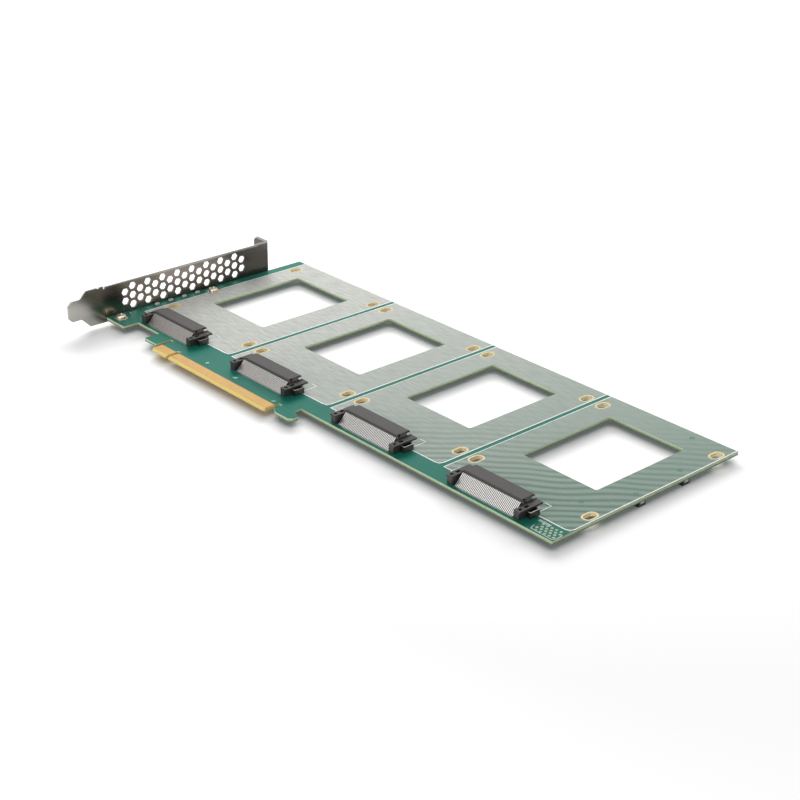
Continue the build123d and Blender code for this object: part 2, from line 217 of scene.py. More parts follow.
class Finish(Graph):
    """One material, made once and shared by what wears it, measured in the plan."""

    def __init__(self, recipe: Any, board: Board) -> None:
        """Makes the material and lets its recipe paint it.

        Args:
            recipe: One of the finish dataclasses.
            board: The plan that the recipe's lengths and places are written in.
        """
        self.material = bpy.data.materials.new(recipe.name)
        self.material.use_nodes = True
        super().__init__(self.material.node_tree)
        self.board = board
        self.shader = self.add("BsdfPrincipled")
        self.add("OutputMaterial", {"Surface": self.shader})
        metres = self.add("TexCoord").outputs["Object"]
        plan = {"Location": -board.datum() / MM, "Scale": (1 / MM, 1 / MM, 1 / MM)}
        self.place = self.add("Mapping", {"Vector": metres} | plan)
        self.axes = self.add("SeparateXYZ", {"Vector": self.place}).outputs
        recipe.paint(self)

    def steepness(self) -> Node:
        """Returns a node that gives 1 where a face looks up or down and 0 on a wall."""
        normal = self.add("NewGeometry").outputs["True Normal"]
        parts = self.add("SeparateXYZ", {"Vector": normal})
        return self.add("Math", {0: parts.outputs["Z"]}, operation="ABSOLUTE")

    def drawn_out(self, scale: Point, detail: float) -> Node:
        """Adds a cloudy pattern with its own scale on each axis.

        Args:
            scale: How often the pattern changes in a millimetre along, across and up.
            detail: How fine its smallest clouds are.

        Returns:
            The pattern.
        """
        place = self.add("VectorMath", {0: self.place, 1: scale}, operation="MULTIPLY")
        return self.add("TexNoise", {"Vector": place, "Scale": 1.0, "Detail": detail})

    def all_of(self, tests: Sequence[tuple[Any, str, float]]) -> Node:
        """Joins comparisons with limits.

        Args:
            tests: What is compared, LESS_THAN or GREATER_THAN, and the limit.

        Returns:
            A node that gives 1 where every test holds and 0 elsewhere.
        """
        held: Any = 1.0
        for source, test, limit in tests:
            one = self.add("Math", {0: source, 1: limit}, operation=test)
            held = self.add("Math", {0: one, 1: held}, operation="MULTIPLY")
        return held

    def show(self, looks: dict[str, Any], relief: Node, strength: float, depth: float) -> None:
        """Feeds the shader.

        Args:
            looks: The shader's input name to what it gets.
            relief: The height of the fine relief in the surface.
            strength: How plainly the relief shows.
            depth: The relief's depth in millimetres.
        """
        grain = {"Height": relief, "Strength": strength, "Distance": depth * MM}
        looks["Normal"] = self.add("Bump", grain)
        for name, value in looks.items():
            self.feed(self.shader.inputs[name], value)

    def wear(self, node: Object) -> None:
        """Puts the material on an object in place of what it has."""
        node.data.materials.clear()
        node.data.materials.append(self.material)


@dataclass(frozen=True)
class Plate:
    """A metal coat: its colour where it is clean and where it is duller, and its gloss.

    Where the wall tone is given, the upright faces have it as painted shade. Where stripe_mm is
    given, narrow stripes of the gap tone, real gaps partly filled with painted shade, cross the
    piece at that distance along the card. Where the start tone is given, the coat has it at the
    bracket as a painted reflection and reaches its own tone towards the free end.
    """

    name: str
    tone: str
    dull_tone: str
    roughness: float
    dull_roughness: float
    grain_mm: float
    bump: float = 0.02
    bump_mm: float = 0.05
    metal: float = 1.0
    painted_wall_shade: str = ""
    painted_reflection_start: str = ""
    reflection_fade_mm: Flat = (20.0, 235.0)
    stripe_mm: float = 0.0
    stripe_start: float = 0.0
    stripe_share: float = 0.5
    gap_and_shade_tone: str = ""

    def paint(self, coat: Finish) -> None:
        """Paints the material.

        Args:
            coat: The material.
        """
        scale = 1 / self.grain_mm
        grain = coat.add("TexNoise", {"Vector": coat.place, "Scale": scale, "Detail": 4.0})
        colour = coat.add("Mix", {0: grain, 6: self.tone, 7: self.dull_tone}, data_type="RGBA")
        gloss = between(MIDDLE, (self.roughness, self.dull_roughness))
        roughness = coat.add("MapRange", {"Value": grain} | gloss)
        if self.painted_reflection_start:
            colour = self.add_painted_reflection(coat, colour)
        if self.painted_wall_shade:
            colour = self.add_painted_wall_shade(coat, colour)
        if self.stripe_mm:
            colour = self.striped(coat, colour)
        looks = {"Base Color": colour, "Roughness": roughness, "Metallic": self.metal}
        coat.show(looks, grain, self.bump, self.bump_mm)

    def add_painted_reflection(self, coat: Finish, colour: Node) -> Node:
        """Fades the colour in along the card from the start tone, a painted reflection.

        Args:
            coat: The material.
            colour: The colour so far.

        Returns:
            The new colour.
        """
        # Painted reflection: the coat starts darker at the bracket end.
        along = coat.add("MapRange", {"Value": coat.axes["X"]} | between(self.reflection_fade_mm))
        return coat.add("Mix", {0: along, 6: self.painted_reflection_start, 7: colour}, data_type="RGBA")

    def add_painted_wall_shade(self, coat: Finish, colour: Node) -> Node:
        """Puts the darker wall tone on upright faces as painted shade.

        Args:
            coat: The material.
            colour: The colour so far.

        Returns:
            The new colour.
        """
        # Painted shade: upright faces take the darker wall tone.
        level = coat.add("MapRange", {"Value": coat.steepness()} | between(MIDDLE))
        return coat.add("Mix", {0: level, 6: self.painted_wall_shade, 7: colour}, data_type="RGBA")

    def striped(self, coat: Finish, colour: Node) -> Node:
        """Lays the stripes across the colour: gaps between contacts, widened with painted shade.

        Args:
            coat: The material.
            colour: The colour so far.

        Returns:
            The new colour.
        """
        count = {0: coat.axes["X"], 1: 1 / self.stripe_mm, 2: -self.stripe_start / self.stripe_mm}
        turns = coat.add("Math", count, operation="MULTIPLY_ADD")
        step = coat.add("Math", {0: turns, 1: 1.0}, operation="FLOORED_MODULO")
        # Dark stripes: the gaps between contacts, with painted shade in them.
        dark = coat.add("Math", {0: step, 1: self.stripe_share}, operation="LESS_THAN")
        return coat.add("Mix", {0: dark, 6: colour, 7: self.gap_and_shade_tone}, data_type="RGBA")


@dataclass(frozen=True)
class Moulding:
    """A moulded plastic: its colour, the faint cloud in it, and its fine skin."""

    name: str
    tone: str
    cloud_tone: str
    roughness: float
    cloud_mm: float = 3.0
    skin_mm: float = 0.25
    spread: float = 0.08
    bump: float = 0.15
    bump_mm: float = 0.02

    def paint(self, coat: Finish) -> None:
        """Paints the material.

        Args:
            coat: The material.
        """
        wide, fine = 1 / self.cloud_mm, 1 / self.skin_mm
        cloud = coat.add("TexNoise", {"Vector": coat.place, "Scale": wide, "Detail": 3.0})
        skin = coat.add("TexNoise", {"Vector": coat.place, "Scale": fine, "Detail": 2.0})
        tone = coat.add("Mix", {0: cloud, 6: self.tone, 7: self.cloud_tone}, data_type="RGBA")
        gloss = between(WHOLE, (self.roughness - self.spread, self.roughness + self.spread))
        roughness = coat.add("MapRange", {"Value": skin} | gloss)
        coat.show({"Base Color": tone, "Roughness": roughness}, skin, self.bump, self.bump_mm)


@dataclass(frozen=True)
class Lines:
    """Parallel lines across the plan, whose spacing wavers a little."""

    heading: float
    pitch: float
    waver: float
    waver_scale: float
    waver_detail: float

    def count(self, coat: Finish) -> Node:
        """Counts the lines.

        Args:
            coat: The material.

        Returns:
            A node that grows by 1 from one line to the next.
        """
        size = {"Scale": self.waver_scale, "Detail": self.waver_detail}
        drift = coat.add("TexNoise", {"Vector": coat.place} | size)
        turn = math.radians(self.heading)
        step = (math.cos(turn) / self.pitch, math.sin(turn) / self.pitch, 0.0)
        across = coat.add("VectorMath", {0: coat.place, 1: step}, operation="DOT_PRODUCT")
        return coat.add("Math", {0: drift, 1: self.waver, 2: across}, operation="MULTIPLY_ADD")


@dataclass(frozen=True)
class MaskedLaminate:
    """Glass laminate under green solder mask, with the pale hatching of the drive cells.

    Woven glass is pressed in resin, then coated with a green lacquer that is cured under a
    film, so the face is even and glossy and the copper under it shows as a lighter green. The
    sawn walls show the bare cloth in pale yellow, with painted shade that darkens them towards
    the underside. The hatching is white ink in lines too fine to show singly at the
    photograph's distance, so they are drawn 0.9 mm apart. They let the mask show between them,
    beat in soft bands towards the free end, and carry a painted sheen that makes them paler
    towards the bracket.
    """

    name: str = "solder_mask_on_glass_laminate"
    mask: str = "#0F6A5A"
    mask_light: str = "#24806E"
    ink_sheen_bracket_end: str = "#D0CFCA"
    ink_free_end: str = "#90A499"
    worn_ink: str = "#8A8E86"
    band: str = "#648072"
    edge: str = "#D0E4C4"
    edge_painted_shade: str = "#868A68"
    finger_edge: str = "#E6CD86"
    bevel_with_highlight: str = "#FFE48E"
    bare: str = "#C9A04A"
    roughness: Flat = (0.3, 0.42)
    sheen: float = 0.14
    fingers_left: float = 35.9
    fingers_right: float = 121.1
    fingers_top: float = -31.1
    cell_shift: float = 3.6
    cell_width: float = 68.55
    cell_near: float = -14.6
    upper_half: float = -0.5
    level_from: float = 0.97
    bevel_from: float = 0.5
    cloud_scale: float = 0.035
    track_scale: Point = (0.05, 1.1, 0.0)
    track_share: Flat = (0.56, 0.62)
    track_light: float = 0.25
    weave_scale: float = 1.6
    cloth_scale: Point = (0.4, 0.4, 6.0)
    streak_scale: Point = (0.12, 0.8, 0.0)
    streak_share: Flat = (0.4, 0.7)
    streak_cover: float = 0.38
    cover_between: float = 0.83
    line_edge: Flat = (0.1, 0.3)
    shade_depths: Flat = (-0.5, -1.4)
    painted_shade_shares: Flat = (-0.35, 0.55)
    band_wave: Flat = (-0.6, 1.0)
    band_way: Point = (0.0075, -0.0085, 0.0)
    band_growth: Flat = (1.15, 1.95)
    least_band: float = 0.06
    hatch: Lines = Lines(62.0, 0.9, 0.6, 0.5, 3.0)
    bands: Lines = Lines(134.0, 4.7, 2.4, 0.022, 1.0)
    ink_sheen_fade: Flat = (45.0, 278.7)
    bump: float = 0.12
    bump_mm: float = 0.02

    def paint(self, coat: Finish) -> None:
        """Paints the material.

        Args:
            coat: The material.
        """
        fingers = self.finger_zone(coat)
        # Bare laminate shows between the gold fingers.
        bare = {0: fingers, 6: self.mask_colour(coat), 7: self.bare}
        mask = coat.add("Mix", bare, data_type="RGBA")
        cell = self.cell_field(coat)
        ink = {0: self.hatch_cover(coat, cell), 6: mask, 7: self.ink_colour(coat)}
        face = coat.add("Mix", ink, data_type="RGBA")
        steep = coat.steepness()
        is_wall = coat.add("Math", {0: steep, 1: self.level_from}, operation="LESS_THAN")
        wall = self.wall_colour(coat, steep, fingers)
        tone = coat.add("Mix", {0: is_wall, 6: face, 7: wall}, data_type="RGBA")
        dull = coat.add("MapRange", {"Value": cell} | between(WHOLE, self.roughness))
        # The cut walls are quite matt.
        roughness = coat.add("Math", {0: dull, 1: is_wall}, operation="MAXIMUM")
        size = {"Scale": self.weave_scale, "Detail": 2.0}
        weave = coat.add("TexNoise", {"Vector": coat.place} | size)
        looks = {"Base Color": tone, "Roughness": roughness, "Specular IOR Level": self.sheen}
        coat.show(looks, weave, self.bump, self.bump_mm)

    def mask_colour(self, coat: Finish) -> Node:
        """Makes the mask's green, a little lighter over the copper that runs under it.

        Args:
            coat: The material.

        Returns:
            The colour.
        """
        size = {"Scale": self.cloud_scale, "Detail": 2.0}
        cloud = coat.add("TexNoise", {"Vector": coat.place} | size)
        tracks = {"Value": coat.drawn_out(self.track_scale, 1.0)}
        light = between(self.track_share, (0.0, self.track_light))
        copper = coat.add("MapRange", tracks | light)
        share = coat.add("Math", {0: cloud, 1: copper}, operation="ADD", use_clamp=True)
        return coat.add("Mix", {0: share, 6: self.mask, 7: self.mask_light}, data_type="RGBA")

    def finger_zone(self, coat: Finish) -> Node:
        """Finds the tongue that carries the gold fingers.

        Args:
            coat: The material.

        Returns:
            A node that gives 1 on the tongue and 0 elsewhere.
        """
        x, y = coat.axes["X"], coat.axes["Y"]
        sides = [(x, "GREATER_THAN", self.fingers_left), (x, "LESS_THAN", self.fingers_right)]
        return coat.all_of(sides + [(y, "LESS_THAN", self.fingers_top)])

    def ink_colour(self, coat: Finish) -> Node:
        """Makes the hatching's tone, paler at the bracket as painted sheen, with soft bands and grey
        streaks.

        Args:
            coat: The material.

        Returns:
            The colour.
        """
        # Painted sheen: the ink is paler towards the bracket.
        along = coat.add("MapRange", {"Value": coat.axes["X"]} | between(self.ink_sheen_fade))
        ends = {0: along, 6: self.ink_sheen_bracket_end, 7: self.ink_free_end}
        plain = coat.add("Mix", ends, data_type="RGBA")
        turns = coat.add("Math", {0: self.bands.count(coat), 1: math.tau}, operation="MULTIPLY")
        wave = coat.add("Math", {0: turns}, operation="SINE")
        crest = coat.add("MapRange", {"Value": wave} | between(self.band_wave))
        # The bands are plain on the near half of the last cells and fade elsewhere.
        reach = coat.add("VectorMath", {0: coat.place, 1: self.band_way}, operation="DOT_PRODUCT")
        growth = between(self.band_growth, (self.least_band, 1.0))
        strength = coat.add("MapRange", {"Value": reach} | growth)
        share = coat.add("Math", {0: crest, 1: strength}, operation="MULTIPLY")
        banded = coat.add("Mix", {0: share, 6: plain, 7: self.band}, data_type="RGBA")
        streaks = {"Value": coat.drawn_out(self.streak_scale, 4.0)}
        wear = between(self.streak_share, (0.0, self.streak_cover))
        worn = coat.add("MapRange", streaks | wear)
        return coat.add("Mix", {0: worn, 6: banded, 7: self.worn_ink}, data_type="RGBA")

    def cell_field(self, coat: Finish) -> Node:
        """Finds the drives' cells on the component side.

        Args:
            coat: The material.

        Returns:
            A node that gives 1 in a cell and 0 elsewhere.
        """
        shifted = coat.add("Math", {0: coat.axes["X"], 1: self.cell_shift}, operation="ADD")
        pitch = coat.board.cell_pitch
        inside = coat.add("Math", {0: shifted, 1: pitch}, operation="FLOORED_MODULO")
        along = [(inside, "LESS_THAN", self.cell_width), (shifted, "GREATER_THAN", 0.0)]
        near = (coat.axes["Y"], "GREATER_THAN", self.cell_near)
        return coat.all_of(along + [near, (coat.axes["Z"], "GREATER_THAN", self.upper_half)])

    def hatch_cover(self, coat: Finish, cell: Node) -> Node:
        """Makes the ink's cover: full on a line, less between lines.

        Args:
            coat: The material.
            cell: 1 in the drives' cells.

        Returns:
            The share of the mask that the ink hides.
        """
        saw = coat.add("Math", {0: self.hatch.count(coat), 1: 0.5}, operation="PINGPONG")
        ink = between(self.line_edge, (self.cover_between, 1.0))
        line = coat.add("MapRange", {"Value": saw} | ink)
        return coat.add("Math", {0: line, 1: cell}, operation="MULTIPLY")

    def wall_colour(self, coat: Finish, steep: Node, fingers: Node) -> Node:
        """Makes the cut laminate's tone: cloth layers, painted shade below and a bevel highlight.

        Args:
            coat: The material.
            steep: 1 where a face looks up or down and 0 on a wall.
            fingers: 1 on the tongue that carries the gold fingers.

        Returns:
            The colour.
        """
        layers = coat.drawn_out(self.cloth_scale, 2.0)
        # Painted shade: the walls darken towards the board's underside.
        shade_fall = between(self.shade_depths, self.painted_shade_shares)
        depth = coat.add("MapRange", {"Value": coat.axes["Z"]} | shade_fall)
        share = coat.add("Math", {0: layers, 1: depth}, operation="ADD", use_clamp=True)
        cut = coat.add("Mix", {0: share, 6: self.edge, 7: self.edge_painted_shade}, data_type="RGBA")
        warm = coat.add("Mix", {0: fingers, 6: cut, 7: self.finger_edge}, data_type="RGBA")
        # The bevel's bright yellow is partly the plating's gold tails and partly a painted highlight.
        on_bevel = coat.add("Math", {0: steep, 1: self.bevel_from}, operation="GREATER_THAN")
        return coat.add("Mix", {0: on_bevel, 6: warm, 7: self.bevel_with_highlight}, data_type="RGBA")


@dataclass(frozen=True)
class BracketNickel:
    """Bright nickel on rolled steel: a near mirror, with painted reflections in its colour.

    The sheet takes its tone from what it mirrors, and that is painted into its colour. The plate
    between the tongue and the tab stands over the dark board edge, so it has a dark painted
    reflection, darker still towards the far end. The bare tongue is painted paler as a reflection,
    and the top lip has a painted highlight. Fine rolling lines run along the sheet.
    """

    name: str = "nickel_plated_sheet"
    plate_painted_reflection: str = "#8F857C"
    far_painted_reflection: str = "#5E5A56"
    tongue_painted_reflection: str = "#BDBAB6"
    lip_painted_highlight: str = "#9A9893"
    roughness: Flat = (0.14, 0.3)
    far_reflection_fade: Flat = (-10.0, 50.0)
    tongue_reflection_slant: float = 0.82
    tongue_reflection_fade: Flat = (-32.0, -40.0)
    lip_highlight_fade: Flat = (14.9, 15.7)
    rolling: Point = (2.0, 0.08, 2.0)
    bump: float = 0.05
    bump_mm: float = 0.05

    def paint(self, coat: Finish) -> None:
        """Paints the material.

        Args:
            coat: The material.
        """
        y, z = coat.axes["Y"], coat.axes["Z"]
        slant = coat.add("Math", {0: z, 1: self.tongue_reflection_slant, 2: y}, operation="MULTIPLY_ADD")
        # Painted reflections in the plate's colour, and a painted highlight on the top lip.
        parts = (
            (y, self.far_reflection_fade, "LINEAR", self.far_painted_reflection),
            (slant, self.tongue_reflection_fade, "SMOOTHSTEP", self.tongue_painted_reflection),
            (z, self.lip_highlight_fade, "SMOOTHSTEP", self.lip_painted_highlight),
        )
        tone: Any = self.plate_painted_reflection
        for source, reach, course, painted_tone in parts:
            fade = {"Value": source} | between(reach)
            share = coat.add("MapRange", fade, interpolation_type=course)
            tone = coat.add("Mix", {0: share, 6: tone, 7: painted_tone}, data_type="RGBA")
        rolled = coat.drawn_out(self.rolling, 3.0)
        gloss = coat.add("MapRange", {"Value": rolled} | between(WHOLE, self.roughness))
        looks = {"Base Color": tone, "Roughness": gloss, "Metallic": 1.0}
        coat.show(looks, rolled, self.bump, self.bump_mm)


@dataclass(frozen=True)
class Paper:
    """White paper under the card, which shows as white and keeps the card's shadow.

    Bleached, uncoated fibre scatters light evenly, so the sheet has no shine. It glows more
    away from the card, where the lamps no longer reach it evenly, so that it stays white.
    """

    name: str = "white_paper"
    tone: str = "#FBFBFB"
    oval: Point = (0.5, 1.0, 0.0)
    glow: Flat = (0.08, 0.5)
    glow_reach: Flat = (0.14, 0.34)

    def build(self) -> bpy.types.Material:
        """Makes the material.

        Returns:
            The material.
        """
        material = bpy.data.materials.new(self.name)
        material.use_nodes = True
        graph = Graph(material.node_tree)
        sheet = graph.add("BsdfDiffuse", {"Color": self.tone})
        rays = graph.add("LightPath").outputs
        looks = {0: rays["Is Camera Ray"], 1: rays["Is Glossy Ray"]}
        seen = graph.add("Math", looks, operation="MAXIMUM")
        metres = graph.add("TexCoord").outputs["Object"]
        flat = graph.add("VectorMath", {0: metres, 1: self.oval}, operation="MULTIPLY")
        away = graph.add("VectorMath", {0: flat}, operation="LENGTH")
        level = graph.add("MapRange", {"Value": away} | between(self.glow_reach, self.glow))
        share = graph.add("Math", {0: seen, 1: level}, operation="MULTIPLY")
        light = graph.add("Emission", {"Color": WHITE_LIGHT, "Strength": share})
        both = graph.add("AddShader", {0: sheet, 1: light})
        graph.add("OutputMaterial", {"Surface": both})
        return material


# Hard gold, plated over nickel on the fingers: smooth, so it shines, and a deep warm yellow.
GOLD_FINGERS = Plate("hard_gold_on_copper", "#F2CE92", "#EBC07E", 0.3, 0.42, 2.5)
# Immersion gold on the pads: a thin, slightly matt film, so it is paler than the fingers.
GOLD_PADS = Plate("immersion_gold_on_copper", "#F6E6BE", "#EAD5A4", 0.35, 0.5, 1.2)
# The same film down the drilled wall: the drill's marks scatter the light, so it is dull.
# Its tone, paler than the pads', is painted light on the lit wall.
GOLD_BARREL_PAINTED_LIGHT = Plate("plated_slot_wall_painted_light", "#FFF4D4", "#F6E4B8", 0.5, 0.65, 1.2, metal=0.25)
# Solder levelled on small pads: grey, with a trace of the mask's green round it.
TIN_PADS = Plate("tinned_test_pads", "#D9D8C2", "#C2C6AC", 0.4, 0.55, 1.2)
# Stamped copper alloy, tinned in the strip: a bright satin metal. The dark stripes are the
# gaps between neighbouring contacts. They are drawn half a pitch wide, wider than the real
# gap of 0.2 mm, because they carry painted shade for the depth between the contacts too.
# The strip is darker at the bracket end as a painted reflection.
TIN_STRIP = Plate(
    "tinned_copper_alloy", "#FBF9F7", "#F0EEEB", 0.3, 0.4, 6.0, bump=0.0, painted_reflection_start="#BEBAB6",
    stripe_mm=0.8, stripe_start=0.15, gap_and_shade_tone="#6E6A68",
)
# Sheet steel, punched and then tinned: the flat faces shine, and the sheared walls are darker
# with painted shade.
TIN_CLIP = Plate("tinned_steel", "#F2F0EE", "#E4E2DE", 0.3, 0.42, 1.5, painted_wall_shade="#5C5855")
# Nickel over cold-headed steel, polished by tumbling: a warm bright metal with small glints.
SCREW_NICKEL = Plate("nickel_plated_screw_steel", "#D8D2C6", "#BFB6A6", 0.18, 0.32, 0.8)
# Solder that has melted and set: smooth where it flowed and frosted where it froze last.
SOLDER = Plate("reflowed_solder", "#C8C8C6", "#A8A8A6", 0.25, 0.45, 0.8)
# Glass-filled polymer from a spark-eroded mould: near black, with a fine skin, so its flat
# top takes a grey sheen from the light behind it.
BLACK_MOULDING = Moulding("black_liquid_crystal_polymer", "#393736", "#43403F", 0.4)
# Filled epoxy, moulded round the parts: a flat, cool black with hardly any shine.
PACKAGE_BLACK = Moulding("epoxy_package", "#1C1C1D", "#242425", 0.5)
# White reflector plastic round each lamp's clear window: clean, faintly warm and satin.
LAMP_WHITE = Moulding("white_lamp_package", "#F8F6F0", "#ECE8DC", 0.35)
# Screened epoxy ink, baked on: a flat white with soft edges and almost no skin.
PRINT_WHITE = Moulding("white_ink", "#FCFEFC", "#F4F8F4", 0.55, bump=0.05)
# Mask left bare inside a printed field: the board's own green lacquer, seen as small spots.
BARE_MASK = Moulding("green_mask_spot", "#3A6E60", "#2F6456", 0.35, bump=0.05)
# Pressed and fired oxide layers of the small capacitors: a matt brown like clay.
CERAMIC_TAN = Moulding("fired_ceramic", "#8A7360", "#7A6452", 0.5)


def new_piece(
    name: str,
    points: Iterable[Vector],
    edges: Iterable[tuple[int, int]] = (),
    faces: Iterable[tuple[int, ...]] = (),
) -> Object:
    """Makes a mesh object.

    Args:
        name: The piece's name.
        points: Points in metres.
        edges: Pairs of point numbers.
        faces: Groups of point numbers.

    Returns:
        The object, linked to the scene.
    """
    mesh = bpy.data.meshes.new(name)
    mesh.from_pydata([tuple(point) for point in points], list(edges), list(faces))
    piece = bpy.data.objects.new(name, mesh)
    bpy.context.scene.collection.objects.link(piece)
    return piece


def apply_modifier(piece: Object, modifier: bpy.types.Modifier) -> None:
    """Keeps a modifier's result as the piece's plain mesh.

    Args:
        piece: The piece.
        modifier: Its modifier, which is removed.
    """
    graph = bpy.context.evaluated_depsgraph_get()
    graph.update()
    mesh = bpy.data.meshes.new_from_object(piece.evaluated_get(graph))
    piece.modifiers.remove(modifier)
    piece.data = mesh


class RepeatTree(Graph):
    """A geometry tree with named inputs, closed by Realize Instances and Set Material."""

    family: str = "GeometryNode"
    sockets: dict[type, str] = {
        float: "NodeSocketFloat", int: "NodeSocketInt", tuple: "NodeSocketVector",
    }

    def __init__(self, name: str, inputs: dict[str, Any]) -> None:
        """Starts the tree.

        Args:
            name: The tree's name.
            inputs: Input name to its usual value.
        """
        super().__init__(bpy.data.node_groups.new(name, "GeometryNodeTree"))
        face = self.tree.interface
        face.new_socket("Geometry", in_out="INPUT", socket_type="NodeSocketGeometry")
        for label, usual in inputs.items():
            kind = self.sockets[type(usual)]
            face.new_socket(label, in_out="INPUT", socket_type=kind).default_value = usual
        face.new_socket("Finish", in_out="INPUT", socket_type="NodeSocketMaterial")
        face.new_socket("Geometry", in_out="OUTPUT", socket_type="NodeSocketGeometry")
        self.given = self.add("NodeGroupInput").outputs

    def close(self, shape: Node) -> "RepeatTree":
        """Ends the tree in plain geometry that wears the named finish.

        Args:
            shape: The geometry to hand out.

        Returns:
            The finished tree.
        """
        plain = self.add("RealizeInstances", {"Geometry": shape})
        dress = {"Geometry": plain, "Material": self.given["Finish"]}
        self.add("NodeGroupOutput", {0: self.add("SetMaterial", dress)})
        return self

    def run(self, piece: Object, values: dict[str, Any]) -> None:
        """Runs the tree on a piece and keeps the result as its plain mesh.

        Args:
            piece: Object whose mesh goes in.
            values: Input name to value.
        """
        modifier = piece.modifiers.new("repeat", "NODES")
        modifier.node_group = self.tree
        for item in self.tree.interface.items_tree:
            if item.in_out == "INPUT" and item.name in values:
                modifier[item.identifier] = values[item.name]
        apply_modifier(piece, modifier)


def pad_tree() -> RepeatTree:
    """Makes the tree that lays a flat open pad with round ends on each point.

    Returns:
        The tree, with inputs Outer Width, Outer Length, Inner Width, Inner Length, Height and
        Corner Sides.
    """
    outer = {"Outer Width": 5.0 * MM, "Outer Length": 7.6 * MM}
    inner = {"Inner Width": 3.8 * MM, "Inner Length": 6.4 * MM}
    repeat = RepeatTree("flat_pads", outer | inner | {"Height": 0.04 * MM, "Corner Sides": 9})
    given = repeat.given
    outlines: list[Node] = []
    for name in ("Outer", "Inner"):
        width, length = given[f"{name} Width"], given[f"{name} Length"]
        plain = repeat.add("CurvePrimitiveQuadrilateral", {"Width": width, "Height": length})
        least = repeat.add("ShaderNodeMath", {0: width, 1: length}, operation="MINIMUM")
        # A hair under half of the width, so that no two corners of the outline meet.
        radius = repeat.add("ShaderNodeMath", {0: least, 1: 0.4985}, operation="MULTIPLY")
        turn = {"Curve": plain, "Count": given["Corner Sides"], "Radius": radius}
        outlines.append(repeat.add("FilletCurve", turn, mode="POLY"))
    both = repeat.add("JoinGeometry", {0: outlines})
    sheet = repeat.add("FillCurve", {"Curve": both})
    rise = {"Mesh": sheet, "Offset": (0.0, 0.0, 1.0), "Offset Scale": given["Height"]}
    thick = repeat.add("ExtrudeMesh", rise | {"Individual": False})
    under = repeat.add("FlipFaces", {0: sheet})
    shell = repeat.add("JoinGeometry", {0: [thick, under]})
    weld = {"Geometry": shell, "Distance": 0.0005 * MM}
    pad = repeat.add("MergeByDistance", weld)
    places = {"Points": given["Geometry"], "Instance": pad}
    return repeat.close(repeat.add("InstanceOnPoints", places))


def row_tree() -> RepeatTree:
    """Makes the tree that lays a row of small blocks along X from each point.

    Returns:
        The tree, with inputs Count, Pitch and Size.
    """
    size = (0.5 * MM, 1.0 * MM, 0.05 * MM)
    repeat = RepeatTree("rows_of_blocks", {"Count": 40, "Pitch": 0.8 * MM, "Size": size})
    given = repeat.given
    step = repeat.add("ShaderNodeCombineXYZ", {"X": given["Pitch"]})
    line = repeat.add("MeshLine", {"Count": given["Count"], "Offset": step})
    starts = {"Points": given["Geometry"], "Instance": line}
    lines = repeat.add("InstanceOnPoints", starts)
    points = repeat.add("RealizeInstances", {"Geometry": lines})
    block = repeat.add("MeshCube", {"Size": given["Size"]})
    places = {"Points": points, "Instance": block}
    return repeat.close(repeat.add("InstanceOnPoints", places))


def ribbon_tree() -> RepeatTree:
    """Makes the tree that sweeps a thin flat section along the paths that it is given.

    Returns:
        The tree, with inputs Width and Height.
    """
    repeat = RepeatTree("printed_lines", {"Width": 0.3 * MM, "Height": 0.03 * MM})
    size = {"Width": repeat.given["Width"], "Height": repeat.given["Height"]}
    section = repeat.add("CurvePrimitiveQuadrilateral", size)
    path = repeat.add("MeshToCurve", {0: repeat.given["Geometry"]})
    level = repeat.add("SetCurveNormal", {"Curve": path}, mode="Z_UP")
    sweep = {"Curve": level, "Profile Curve": section, "Fill Caps": True}
    return repeat.close(repeat.add("CurveToMesh", sweep))


